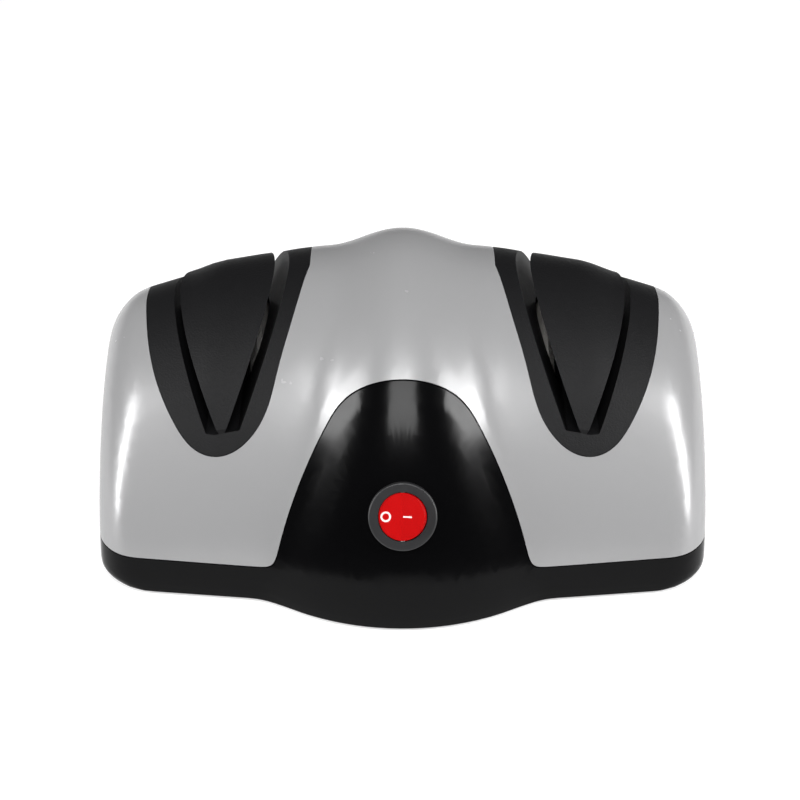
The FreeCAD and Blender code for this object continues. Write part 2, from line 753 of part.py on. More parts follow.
def disc_hub(x):
    """Plastic hub with a flat in its bore, so that it slides on the shaft but turns with it."""
    z = foot_stand + shaft_h
    out = -disc_t / 2
    profile = [(x - hub_len / 2, 1.0), (x - hub_len / 2, hub_r), (x + out - hub_flange_t, hub_r),
               (x + out - hub_flange_t, hub_flange_r), (x + out, hub_flange_r), (x + out, hub_r),
               (x + hub_len / 2, hub_r), (x + hub_len / 2, 1.0)]
    hub = revolved_x(profile)
    bore = rod_x(shaft_r + run_clear, x - hub_len, x + hub_len)
    flat = box(x - hub_len, x + hub_len, ridge_y - 4, ridge_y + 4, z + shaft_flat + run_clear, z + 8)
    return hub.cut(bore.cut(flat)).cut(rod_x(1.2, x - hub_len, x + hub_len))


def grinding_disc(x):
    """Abrasive disc with a rim bevelled on both sides."""
    half = disc_t / 2
    profile = [(x - half, hub_r), (x - half, disc_r - disc_bevel * 2), (x - half * 0.25, disc_r),
               (x + half * 0.25, disc_r), (x + half, disc_r - disc_bevel * 2), (x + half, hub_r)]
    return revolved_x(profile)


def disc_spring():
    """Envelope of the coil spring that presses a pair of discs apart."""
    x0 = disc_inner_x + hub_len / 2 + seat_gap
    x1 = disc_outer_x - hub_len / 2 - seat_gap
    return rod_x(spring_r, x0, x1).cut(rod_x(spring_r - spring_t, x0, x1))


def clamp_screw_places():
    """Screw places on the motor saddles."""
    reach = motor_r + strap_clear + strap_ear / 2
    return [(x, ridge_y + s * reach) for x in (-saddle_x, saddle_x) for s in (-1, 1)]


def motor_straps():
    """Two steel straps that hold the motor down on its saddles."""
    z = foot_stand + shaft_h
    straps = []
    for x in (-saddle_x, saddle_x):
        x0, x1 = x - saddle_t / 2, x + saddle_t / 2
        inner = motor_r + strap_clear * 0.5
        hoop = rod_x(inner + strap_t, x0, x1).cut(rod_x(inner, x0, x1))
        hoop = hoop.common(box(x0, x1, -FAR, FAR, z, FAR))
        reach = motor_r + strap_clear + strap_ear
        for s in (-1, 1):
            y0, y1 = sorted((ridge_y + s * (inner + 0.2), ridge_y + s * reach))
            hoop = hoop.fuse(box(x0, x1, y0, y1, z, z + strap_t))
        for sx, sy in clamp_screw_places():
            if sx == x:
                hoop = hoop.cut(rod_z(clamp_screw_r + 0.1, sx, sy, z - 1, z + 5))
        straps.append(hoop.removeSplitter())
    return Part.makeCompound(straps)


def strap_screws():
    """Four screws through the straps into the saddles."""
    z = foot_stand + shaft_h + strap_t
    screws = []
    for x, y in clamp_screw_places():
        head = rod_z(2.6, x, y, z, z + 1.8)
        screws.append(head.fuse(rod_z(clamp_screw_r, x, y, z - 9.0, z)))
    return Part.makeCompound(screws)


# Circuit board

def board_posts():
    """Where the board is screwed down."""
    inset = 3.5
    ys = (board_y0 + inset, board_y0 + board_w - inset)
    return [(s * (board_x / 2 - inset), y) for s in (-1, 1) for y in ys]


def circuit_board():
    """Rectifier board on four posts."""
    z = foot_stand + floor_t + board_lift
    board = box(-board_x / 2, board_x / 2, board_y0, board_y0 + board_w, z, z + board_t)
    for x, y in board_posts():
        board = board.cut(rod_z(1.1, x, y, z, z + board_t))
    return board


def board_screws():
    """Four small screws that hold the board."""
    z = foot_stand + floor_t + board_lift + board_t
    screws = []
    for x, y in board_posts():
        screws.append(rod_z(1.8, x, y, z, z + 1.2).fuse(rod_z(0.9, x, y, z - board_t - board_lift, z)))
    return Part.makeCompound(screws)


def board_components():
    """Smoothing capacitor, bridge rectifier and choke on the board."""
    z = foot_stand + floor_t + board_lift + board_t
    y = board_y0 + board_w / 2
    can = rod_z(4.0, -12.0, y - 4, z, z + 8.0)
    bridge = box(-3.5, 3.5, y + 1.5, y + 9.5, z, z + 4.5)
    choke = rod_z(4.5, 12.0, y, z, z + 6.0)
    return Part.makeCompound([can, bridge, choke])


os.makedirs("parts", exist_ok=True)

outer = skin_solid()
proud = skin_solid(0.0, wedge_rise)
inner = core_solid(wall)
skin_inner = core_solid(wall - 0.5)
left_insert = guide_insert(outer, proud, core_solid(insert_t))

nodes = {
    "top_cover": top_cover(outer, inner),
    "base_housing": base_housing(outer, inner),
    "guide_insert_left": left_insert,
    "guide_insert_right": mirrored(left_insert),
    "switch_housing": set_on_dome(switch_housing()),
    "switch_rocker": set_on_dome(switch_rocker()),
    "rocker_pin": set_on_dome(rocker_pin()),
    "switch_terminals": set_on_dome(switch_terminals()),
    "motor_can": motor_can(),
    "motor_bell_left": motor_bell(-1),
    "motor_bell_right": motor_bell(1),
    "bearing_bush_left": bearing_bush(-1),
    "bearing_bush_right": bearing_bush(1),
    "stator_magnets": stator_magnets(),
    "brush_boxes": brush_boxes(),
    "carbon_brushes": carbon_brushes(),
    "motor_straps": motor_straps(),
    "strap_screws": strap_screws(),
    "drive_shaft": drive_shaft(),
    "rotor_core": rotor_core(),
    "commutator": commutator(),
    "cooling_fan": cooling_fan(),
    "spacer_sleeves": spacer_sleeves(),
    "end_clips": end_clips(),
    "coarse_disc_outer": grinding_disc(-disc_outer_x),
    "coarse_disc_inner": grinding_disc(-disc_inner_x),
    "fine_disc_inner": grinding_disc(disc_inner_x),
    "fine_disc_outer": grinding_disc(disc_outer_x),
    "coarse_hub_outer": mirrored(disc_hub(disc_outer_x)),
    "coarse_hub_inner": disc_hub(-disc_inner_x),
    "fine_hub_inner": mirrored(disc_hub(-disc_inner_x)),
    "fine_hub_outer": disc_hub(disc_outer_x),
    "coarse_disc_spring": mirrored(disc_spring()),
    "fine_disc_spring": disc_spring(),
    "circuit_board": circuit_board(),
    "board_components": board_components(),
    "board_screws": board_screws(),
    "cord_gland": cord_gland(),
    "rubber_feet": rubber_feet(),
    "cover_screws": cover_screws(),
}

for name, shape in nodes.items():
    shape.exportStep("parts/" + name + ".step")
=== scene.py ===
"""Looks of the electric two-stage knife sharpener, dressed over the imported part.

Metres, in the part's own frame: +X is the user's right, +Y points to the rear, +Z is up.
"""

from __future__ import annotations

import logging
import math
from collections.abc import Callable
from dataclasses import dataclass, field, replace
from enum import Enum

import bpy
from mathutils import Matrix, Vector

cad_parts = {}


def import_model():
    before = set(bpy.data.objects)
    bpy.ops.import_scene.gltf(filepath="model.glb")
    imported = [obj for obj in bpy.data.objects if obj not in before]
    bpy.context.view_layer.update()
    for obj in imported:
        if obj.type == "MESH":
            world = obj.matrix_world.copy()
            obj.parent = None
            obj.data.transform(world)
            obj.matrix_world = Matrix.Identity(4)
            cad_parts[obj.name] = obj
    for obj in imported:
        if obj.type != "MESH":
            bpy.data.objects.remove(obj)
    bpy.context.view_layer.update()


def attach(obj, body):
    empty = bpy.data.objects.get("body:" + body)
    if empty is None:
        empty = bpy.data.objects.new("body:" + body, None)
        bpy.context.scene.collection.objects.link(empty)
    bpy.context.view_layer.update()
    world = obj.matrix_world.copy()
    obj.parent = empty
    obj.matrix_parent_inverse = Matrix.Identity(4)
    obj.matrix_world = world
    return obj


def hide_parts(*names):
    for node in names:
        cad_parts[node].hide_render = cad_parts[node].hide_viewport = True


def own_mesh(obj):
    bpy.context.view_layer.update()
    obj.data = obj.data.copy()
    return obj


log = logging.getLogger("knife_sharpener")

MM = 0.001


class Body(str, Enum):
    """The groups of the part that carry the new pieces."""

    HOUSING = "housing"
    ROCKER = "rocker"
    ROTOR = "rotor"


class Pattern(Enum):
    """The kinds of fine surface a finish can have."""

    SMOOTH = "smooth"
    GRAIN = "grain"
    FLAKE = "flake"
    BRUSHED = "brushed"
    GRIT = "grit"


@dataclass(frozen=True)
class Finish:
    """A surface finish of the sharpener, with sizes of its pattern in patterns per metre."""

    slot: str
    color: tuple[float, float, float]
    roughness: float
    metallic: float = 0.0
    coat: float = 0.0
    coat_roughness: float = 0.03
    specular: float = 0.5
    pattern: Pattern = Pattern.SMOOTH
    scale: float = 900.0
    depth: float = 0.0
    color_drift: float = 0.06
    rough_drift: float = 0.05
    emission: float = 0.0


SILVER = Finish("silver_paint", (0.27, 0.27, 0.273), 0.27, metallic=0.18, specular=0.4,
                color_drift=0.012, rough_drift=0.01)
PIANO_BLACK = Finish("black_gloss", (0.0012, 0.0012, 0.0014), 0.16, specular=0.11, color_drift=0.1,
                     rough_drift=0.03)
GRAIN_BLACK = Finish("black_grain", (0.0055, 0.0055, 0.006), 0.5, specular=0.15, pattern=Pattern.GRAIN,
                     scale=1500.0, depth=0.00012, color_drift=0.1)
SATIN_BLACK = Finish("switch_black", (0.014, 0.014, 0.015), 0.38, specular=0.4, pattern=Pattern.GRAIN,
                     scale=3000.0, depth=0.00002)
# The red rocker carries a faint self-glow (emission 0.05): painted light, since no lamp sits inside the
# rocker.
RED = Finish("switch_red", (0.36, 0.0015, 0.002), 0.24, coat=0.1, specular=0.2, color_drift=0.12,
             emission=0.05)
STEEL = Finish("steel", (0.62, 0.62, 0.61), 0.28, metallic=1.0, pattern=Pattern.BRUSHED, scale=700.0,
               depth=0.00001)
ZINC = Finish("zinc_steel", (0.56, 0.57, 0.55), 0.40, metallic=1.0, pattern=Pattern.FLAKE, scale=900.0,
              depth=0.00001, color_drift=0.12)
COPPER = Finish("copper", (0.78, 0.40, 0.22), 0.30, metallic=1.0, pattern=Pattern.BRUSHED, scale=900.0,
                depth=0.00001, color_drift=0.12)
FERRITE = Finish("magnet", (0.055, 0.055, 0.06), 0.62, pattern=Pattern.GRAIN, scale=1800.0, depth=0.00004)
CARBON = Finish("carbon", (0.03, 0.03, 0.03), 0.55, pattern=Pattern.GRAIN, scale=2500.0, depth=0.00003)
COARSE_GRIT = Finish("coarse_abrasive", (0.20, 0.195, 0.185), 0.85, pattern=Pattern.GRIT, scale=2200.0,
                     depth=0.0003, color_drift=0.35)
FINE_GRIT = Finish("fine_abrasive", (0.34, 0.33, 0.31), 0.8, pattern=Pattern.GRIT, scale=4200.0,
                   depth=0.00015, color_drift=0.2)
NYLON = Finish("nylon", (0.74, 0.73, 0.68), 0.42, pattern=Pattern.GRAIN, scale=1600.0, depth=0.00002)
BOARD = Finish("board", (0.03, 0.17, 0.06), 0.35, coat=0.3, pattern=Pattern.BRUSHED, scale=1400.0,
               depth=0.00001, color_drift=0.15)
COMPONENT = Finish("component", (0.05, 0.05, 0.055), 0.45, pattern=Pattern.GRAIN, scale=2500.0,
                   depth=0.00002)
RUBBER = Finish("rubber", (0.02, 0.02, 0.02), 0.72, pattern=Pattern.GRAIN, scale=2600.0, depth=0.00005,
                color_drift=0.15)
PRINT = Finish("switch_black", (0.9, 0.62, 0.62), 0.5, color_drift=0.05)


class SurfaceGroups:
    """Shader node groups that the finishes share: slow drift of tone, and the fine height patterns."""

    SLOW_SCALE = 38.0
    FINE_SCALE = 310.0
    SMALL_GRAIN_RATIO = 2.7
    SMALL_GRAIN_SHARE = 0.4
    DRAWN_STRETCH = (0.04, 1.0, 1.0)

    def __init__(self) -> None:
        """Builds each group once."""
        self.drift = self._drift()
        self.height = {
            Pattern.GRAIN: self._grain(),
            Pattern.FLAKE: self._flake(),
            Pattern.BRUSHED: self._brushed(),
            Pattern.GRIT: self._grit(),
        }

    @staticmethod
    def _start(name: str, inputs: dict[str, tuple[str, object]], outputs: dict[str, str]) -> tuple:
        """Starts a group with named sockets.

        Args:
            name: The group's name.
            inputs: Socket type and default of each input, by name.
            outputs: Socket type of each output, by name.

        Returns:
            The group's tree, its input node and its output node.
        """
        tree = bpy.data.node_groups.new(name, "ShaderNodeTree")
        for title, (kind, value) in inputs.items():
            socket = tree.interface.new_socket(title, in_out="INPUT", socket_type=kind)
            socket.default_value = value
        for title, kind in outputs.items():
            tree.interface.new_socket(title, in_out="OUTPUT", socket_type=kind)
        return tree, tree.nodes.new("NodeGroupInput"), tree.nodes.new("NodeGroupOutput")

    @staticmethod
    def math_node(tree: bpy.types.NodeTree, operation: str, a: object, b: object) -> bpy.types.NodeSocket:
        """Adds a math node.

        Args:
            tree: Where the node goes.
            operation: The math node's operation.
            a: First operand, a socket or a number.
            b: Second operand, a socket or a number.

        Returns:
            The node's value output.
        """
        node = tree.nodes.new("ShaderNodeMath")
        node.operation = operation
        for k, value in enumerate((a, b)):
            if isinstance(value, bpy.types.NodeSocket):
                tree.links.new(value, node.inputs[k])
            else:
                node.inputs[k].default_value = value
        return node.outputs[0]

    @staticmethod
    def _noise(tree: bpy.types.NodeTree, scale: object, detail: float,
               stretch: tuple[float, float, float] = (1.0, 1.0, 1.0)) -> bpy.types.NodeSocket:
        """Adds a noise texture on object coordinates.

        Args:
            tree: Where the nodes go.
            scale: Patterns per metre, a socket or a number.
            detail: Octaves of the noise.
            stretch: Scale along each axis.

        Returns:
            The noise's factor output.
        """
        coords = tree.nodes.new("ShaderNodeTexCoord")
        mapping = tree.nodes.new("ShaderNodeMapping")
        mapping.inputs["Scale"].default_value = stretch
        tree.links.new(coords.outputs["Object"], mapping.inputs["Vector"])
        noise = tree.nodes.new("ShaderNodeTexNoise")
        noise.inputs["Detail"].default_value = detail
        tree.links.new(mapping.outputs["Vector"], noise.inputs["Vector"])
        if isinstance(scale, bpy.types.NodeSocket):
            tree.links.new(scale, noise.inputs["Scale"])
        else:
            noise.inputs["Scale"].default_value = scale
        return noise.outputs["Fac"]

    def _drift(self) -> bpy.types.NodeTree:
        """Tone and roughness that wander slowly over a surface, with faint finger dulling.

        Returns:
            The group's tree.
        """
        tree, start, end = self._start(
            "Tone drift",
            {"Color": ("NodeSocketColor", (0.5, 0.5, 0.5, 1.0)), "Color drift": ("NodeSocketFloat", 0.05),
             "Roughness": ("NodeSocketFloat", 0.4), "Rough drift": ("NodeSocketFloat", 0.05)},
            {"Color": "NodeSocketColor", "Roughness": "NodeSocketFloat"})
        slow = self._noise(tree, self.SLOW_SCALE, detail=3.0)
        fine = self._noise(tree, self.FINE_SCALE, detail=2.0)
        both = self.math_node(tree, "ADD", slow, fine)
        centred = self.math_node(tree, "SUBTRACT", both, 1.0)
        shift = self.math_node(tree, "MULTIPLY", centred, start.outputs["Color drift"])
        gain = self.math_node(tree, "ADD", shift, 1.0)
        scaled = tree.nodes.new("ShaderNodeVectorMath")
        scaled.operation = "SCALE"
        tree.links.new(start.outputs["Color"], scaled.inputs[0])
        tree.links.new(gain, scaled.inputs["Scale"])
        tree.links.new(scaled.outputs[0], end.inputs["Color"])
        rub = self.math_node(tree, "MULTIPLY", centred, start.outputs["Rough drift"])
        rough = self.math_node(tree, "ADD", rub, start.outputs["Roughness"])
        tree.links.new(rough, end.inputs["Roughness"])
        return tree

    def _pattern(self, name: str) -> tuple:
        """Starts a height pattern group with Scale in and Height out."""
        return self._start(name, {"Scale": ("NodeSocketFloat", 900.0)}, {"Height": "NodeSocketFloat"})

    def _grain(self) -> bpy.types.NodeTree:
        """Spark-eroded grain: rounded bumps of two sizes.

        Returns:
            The group's tree.
        """
        tree, start, end = self._pattern("Moulded grain")
        large = self._noise(tree, start.outputs["Scale"], detail=2.0)
        finer = self.math_node(tree, "MULTIPLY", start.outputs["Scale"], self.SMALL_GRAIN_RATIO)
        small = self._noise(tree, finer, detail=1.0)
        share = self.math_node(tree, "MULTIPLY", small, self.SMALL_GRAIN_SHARE)
        mixed = self.math_node(tree, "ADD", large, share)
        tree.links.new(mixed, end.inputs["Height"])
        return tree

    def _flake(self) -> bpy.types.NodeTree:
        """Flakes under lacquer: small cells of slightly different height.

        Returns:
            The group's tree.
        """
        tree, start, end = self._pattern("Paint flake")
        coords = tree.nodes.new("ShaderNodeTexCoord")
        cells = tree.nodes.new("ShaderNodeTexVoronoi")
        tree.links.new(coords.outputs["Object"], cells.inputs["Vector"])
        tree.links.new(start.outputs["Scale"], cells.inputs["Scale"])
        tree.links.new(cells.outputs["Distance"], end.inputs["Height"])
        return tree

    def _brushed(self) -> bpy.types.NodeTree:
        """Turned or rolled metal: lines drawn along X.

        Returns:
            The group's tree.
        """
        tree, start, end = self._pattern("Drawn lines")
        lines = self._noise(tree, start.outputs["Scale"], detail=2.0, stretch=self.DRAWN_STRETCH)
        tree.links.new(lines, end.inputs["Height"])
        return tree

    def _grit(self) -> bpy.types.NodeTree:
        """Bonded abrasive: sharp grains with pores between them.

        Returns:
            The group's tree.
        """
        tree, start, end = self._pattern("Bonded grit")
        coords = tree.nodes.new("ShaderNodeTexCoord")
        cells = tree.nodes.new("ShaderNodeTexVoronoi")
        cells.feature = "DISTANCE_TO_EDGE"
        tree.links.new(coords.outputs["Object"], cells.inputs["Vector"])
        tree.links.new(start.outputs["Scale"], cells.inputs["Scale"])
        rough = self._noise(tree, start.outputs["Scale"], detail=4.0)
        mixed = self.math_node(tree, "ADD", cells.outputs["Distance"], rough)
        tree.links.new(mixed, end.inputs["Height"])
        return tree


class FinishShop:
    """Makes one material for each finish, on first use."""

    def __init__(self) -> None:
        """Prepares the shared groups."""
        self.groups = SurfaceGroups()
        self.made: dict[Finish, bpy.types.Material] = {}

    def material(self, finish: Finish) -> bpy.types.Material:
        """The material of a finish.

        Args:
            finish: The finish wanted.

        Returns:
            The finish's material, made once.
        """
        if finish in self.made:
            return self.made[finish]
        material = bpy.data.materials.new(f"{finish.slot} {finish.pattern.value}")
        material.use_nodes = True
        tree = material.node_tree
        shader = tree.nodes["Principled BSDF"]
        shader.inputs["Metallic"].default_value = finish.metallic
        shader.inputs["Specular IOR Level"].default_value = finish.specular
        shader.inputs["Coat Weight"].default_value = finish.coat
        shader.inputs["Coat Roughness"].default_value = finish.coat_roughness
        # A finish with emission glows in its own colour: painted glow on a part that holds no lamp.
        if finish.emission:
            shader.inputs["Emission Color"].default_value = (*finish.color, 1.0)
            shader.inputs["Emission Strength"].default_value = finish.emission
        drift = tree.nodes.new("ShaderNodeGroup")
        drift.node_tree = self.groups.drift
        drift.inputs["Color"].default_value = (*finish.color, 1.0)
        drift.inputs["Color drift"].default_value = finish.color_drift
        drift.inputs["Roughness"].default_value = finish.roughness
        drift.inputs["Rough drift"].default_value = finish.rough_drift
        tree.links.new(drift.outputs["Color"], shader.inputs["Base Color"])
        tree.links.new(drift.outputs["Roughness"], shader.inputs["Roughness"])
        if finish.depth:
            height = tree.nodes.new("ShaderNodeGroup")
            height.node_tree = self.groups.height[finish.pattern]
            height.inputs["Scale"].default_value = finish.scale
            bump = tree.nodes.new("ShaderNodeBump")
            bump.inputs["Distance"].default_value = finish.depth
            tree.links.new(height.outputs["Height"], bump.inputs["Height"])
            tree.links.new(bump.outputs["Normal"], shader.inputs["Normal"])
        self.made[finish] = material
        return material

    def dress_node(self, name: str, finish: Finish) -> None:
        """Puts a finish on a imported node.

        Args:
            name: The node.
            finish: Its finish.
        """
        material = self.material(finish)
        for entry in bpy.data.objects[name].material_slots:
            entry.material = material
        log.info("%s: %s", name, finish.slot)

    def dress_piece(self, piece: bpy.types.Object, finish: Finish, body: Body) -> None:
        """Puts a finish on a new piece and lets it ride on a body.

        Args:
            piece: The new piece.
            finish: Its finish.
            body: The body that it moves with.
        """
        piece.data.materials.clear()
        piece.data.materials.append(self.material(finish))
        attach(piece, body.value)
        log.info("%s: %s on %s", piece.name, finish.slot, body.value)


@dataclass(frozen=True)
class SkinForm:
    """The housing's outer form in polar sections round its ridge line, in millimetres."""

    foot: float = 1.5
    ridge_y: float = 25.5
    rear_reach: float = 40.0
    rear_bow: float = 900.0
    ridge_height: float = 89.0
    ridge_bow: float = 250.0
    crest_height: float = 95.0
    crest_bow: float = 24.0
    crest_least: float = 0.3
    front_reach: float = 82.7
    front_sweep: float = 0.104
    sweep_round: float = 10.0
    nose_reach: float = 92.5
    nose_radius: float = 78.5
    nose_part: float = 0.9
    front_power: float = 1.6
    rear_power: float = 2.5
    crease: float = 4.6
    straight: float = 92.0
    end_round: float = 14.0
    fuller: float = 0.42
    full_until: float = 36.0
    full_end: float = 66.0
    wedge_keep: float = 0.32
    wedge_from: float = 62.0
    wedge_to: float = 77.0
    wedge_above: float = 0.5
    proud_from: float = 0.3
    core: float = 1.0
    foot_slack: float = 0.01
    foot_round: float = 0.0
    foot_round_from: float = 84.0
    foot_round_past: float = 8.0
    end_from: float = 105.0
    foot_cuts: tuple[float, ...] = ()

    @staticmethod
    def ramp(low: float, high: float, value: float) -> float:
        """A smooth step from 0 at low to 1 at high."""
        t = min(max((value - low) / (high - low), 0.0), 1.0)
        return t * t * (3.0 - 2.0 * t)

    def radius(self, x: float, c: float, s: float, power: float) -> float:
        """Radius of the skin in one direction.

        Args:
            x: Place along the ridge.
            c: Cosine of the direction, positive to the rear.
            s: Sine of the direction.
            power: Fullness of the rear.

        Returns:
            The radius from the ridge line's foot.
        """
        side = abs(x)
        over = min(max((side - self.straight) / self.end_round, 0.0), 1.0)
        drop = self.end_round * (1.0 - math.sqrt(max(1.0 - over * over, 0.0)))
        height = self.ridge_height - x * x / (2 * self.ridge_bow) - drop
        least = self.crest_least * self.crest_height
        crest = max(self.crest_height - x * x / (2 * self.crest_bow), least)
        if c > 0:
            reach = nose = self.rear_reach - x * x / (2 * self.rear_bow) - drop
        else:
            power = self.front_power
            reach = self.front_reach - self.front_sweep * math.hypot(x, self.sweep_round) - drop
            inside = min(side, self.nose_part * self.nose_radius)
            nose = self.nose_reach - self.nose_radius + math.sqrt(self.nose_radius ** 2 - inside ** 2)
        wing = ((abs(c) / reach) ** power + (s / height) ** power) ** (-1.0 / power)
        hood = ((abs(c) / nose) ** power + (s / crest) ** power) ** (-1.0 / power)
        mix = min(max(0.5 + 0.5 * (wing - hood) / self.crease, 0.0), 1.0)
        return hood * (1.0 - mix) + wing * mix + self.crease * mix * (1.0 - mix)

    def moved(self, place: Vector) -> Vector:
        """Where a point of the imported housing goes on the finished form.

        Args:
            place: The point, in metres.

        Returns:
            The point with the fuller back and the evened wedge, in metres.
        """
        x, y, z = place / MM
        u, v = y - self.ridge_y, max(z - self.foot, 0.0)
        r = math.hypot(u, v)
        if r < self.core or z < self.foot - self.foot_slack:
            return place
        c, s = u / r, v / r
        skin = self.radius(x, c, s, self.rear_power)
        power = self.rear_power + self.fuller * (1.0 - self.ramp(self.full_until, self.full_end, abs(x)))
        full = self.radius(x, c, s, power)
        proud = r - skin
        if proud > self.proud_from and s > self.wedge_above:
            keep = 1.0 - (1.0 - self.wedge_keep) * self.ramp(self.wedge_from, self.wedge_to, abs(x))
            r = full + proud * keep
        else:
            r *= full / skin
        y, z = self.ridge_y + r * c, self.foot + r * s
        if self.foot_round and (abs(proud) < self.proud_from or abs(x) > self.end_from):
            lift = max(self.foot_round - (z - self.foot), 0.0)
            cut = self.foot_round - math.sqrt(self.foot_round ** 2 - lift ** 2)
            share = self.ramp(self.foot_round_from, self.straight + self.foot_round_past, abs(x))
            x -= math.copysign(cut * share, x)
        return Vector((x, y, z)) * MM


class Bench:
    """Small modelling moves that the sub-assemblies share."""

    MERGE_WITHIN = 0.002 * MM
    SLIVER_UNDER = 0.01 * MM

    @staticmethod
    def finished_copy(node: str, name: str, form: SkinForm, angle: float) -> bpy.types.Object:
        """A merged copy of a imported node, moved onto the finished form.

        Args:
            node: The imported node.
            name: The copy's name.
            form: Where its points go.
            angle: Faces that meet at less than this shade as one, in degrees.

        Returns:
            The copy.
        """
        source = bpy.data.objects[node]
        piece = bpy.data.objects.new(name, source.data.copy())
        piece.data.name = name
        bpy.context.scene.collection.objects.link(piece)
        Bench.activate(piece)
        if piece.data.has_custom_normals:
            bpy.ops.mesh.customdata_custom_splitnormals_clear()
        Bench.edit_all()
        bpy.ops.mesh.remove_doubles(threshold=Bench.MERGE_WITHIN)
        bpy.ops.object.mode_set(mode="OBJECT")
        for height in form.foot_cuts:
            Bench.edit_all()
            bpy.ops.mesh.bisect(plane_co=(0.0, 0.0, height * MM), plane_no=(0.0, 0.0, 1.0))
            bpy.ops.object.mode_set(mode="OBJECT")
        for vertex in piece.data.vertices:
            vertex.co = form.moved(vertex.co)
        Bench.edit_all()
        bpy.ops.mesh.dissolve_degenerate(threshold=Bench.SLIVER_UNDER)
        bpy.ops.object.mode_set(mode="OBJECT")
        bpy.ops.object.shade_smooth_by_angle(angle=math.radians(angle))
        even = piece.modifiers.new("even shading", "WEIGHTED_NORMAL")
        even.keep_sharp = True
        Bench.apply_modifiers(piece)
        return piece

    @staticmethod
    def clear_selection() -> None:
        """Leaves object mode with nothing selected."""
        if bpy.context.object is not None and bpy.context.object.mode != "OBJECT":
            bpy.ops.object.mode_set(mode="OBJECT")
        bpy.ops.object.select_all(action="DESELECT")

    @staticmethod
    def activate(piece: bpy.types.Object) -> None:
        """Makes a piece the active one and the only one selected."""
        Bench.clear_selection()
        piece.select_set(True)
        bpy.context.view_layer.objects.active = piece

    @staticmethod
    def edit_all() -> None:
        """Enters edit mode on the active piece with all of it selected."""
        bpy.ops.object.mode_set(mode="EDIT")
        bpy.ops.mesh.select_all(action="SELECT")

    @staticmethod
    def named(name: str) -> bpy.types.Object:
        """Names the active object and its mesh."""
        piece = bpy.context.object
        piece.name = name
        piece.data.name = name
        return piece

    @staticmethod
    def pick_faces(test: Callable[[Vector, Vector], bool]) -> None:
        """Selects faces of the mesh in edit mode by their place or normal.

        Args:
            test: Given a face's normal and centre, says whether to select it.
        """
        mesh = bpy.context.object.data
        bpy.ops.mesh.select_mode(type="FACE")
        bpy.ops.mesh.select_all(action="DESELECT")
        bpy.ops.object.mode_set(mode="OBJECT")
        for face in mesh.polygons:
            face.select = bool(test(face.normal, face.center))
        bpy.ops.object.mode_set(mode="EDIT")

    @staticmethod
    def settle(piece: bpy.types.Object) -> None:
        """Applies a piece's place, so that its object sits at the origin, unturned."""
        Bench.activate(piece)
        bpy.ops.object.transform_apply(location=True, rotation=True, scale=True)

    @staticmethod
    def apply_modifiers(piece: bpy.types.Object) -> None:
        """Applies every modifier of a piece, in order."""
        Bench.activate(piece)
        for modifier in list(piece.modifiers):
            bpy.ops.object.modifier_apply(modifier=modifier.name)


@dataclass
class Housing:
    """Silver cover and black base with the dome."""

    shop: FinishShop
    form: SkinForm = SkinForm()
    smooth_angle: float = 32.0
    end_round: float = 4.6
    end_cuts: tuple[float, ...] = (2.0, 2.7, 3.6, 4.8)

    def build(self) -> None:
        """Shapes and dresses the cover and the base."""
        cover = Bench.finished_copy("top_cover", "silver_cover", self.form, self.smooth_angle)
        self.shop.dress_piece(cover, SILVER, Body.HOUSING)
        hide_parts("top_cover")
        rounded = replace(self.form, foot_round=self.end_round, foot_cuts=self.end_cuts)
        base = Bench.finished_copy("base_housing", "black_base", rounded, self.smooth_angle)
        self.shop.dress_piece(base, PIANO_BLACK, Body.HOUSING)
        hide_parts("base_housing")


@dataclass
class KnifeGuides:
    """The slotted guide insert of each wing."""

    shop: FinishShop
    form: SkinForm = SkinForm()
    smooth_angle: float = 32.0

    def build(self) -> None:
        """Shapes and dresses both inserts."""
        for side in ("left", "right"):
            node = f"guide_insert_{side}"
            guide = Bench.finished_copy(node, f"knife_guide_{side}", self.form, self.smooth_angle)
            self.shop.dress_piece(guide, GRAIN_BLACK, Body.HOUSING)
            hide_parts(node)


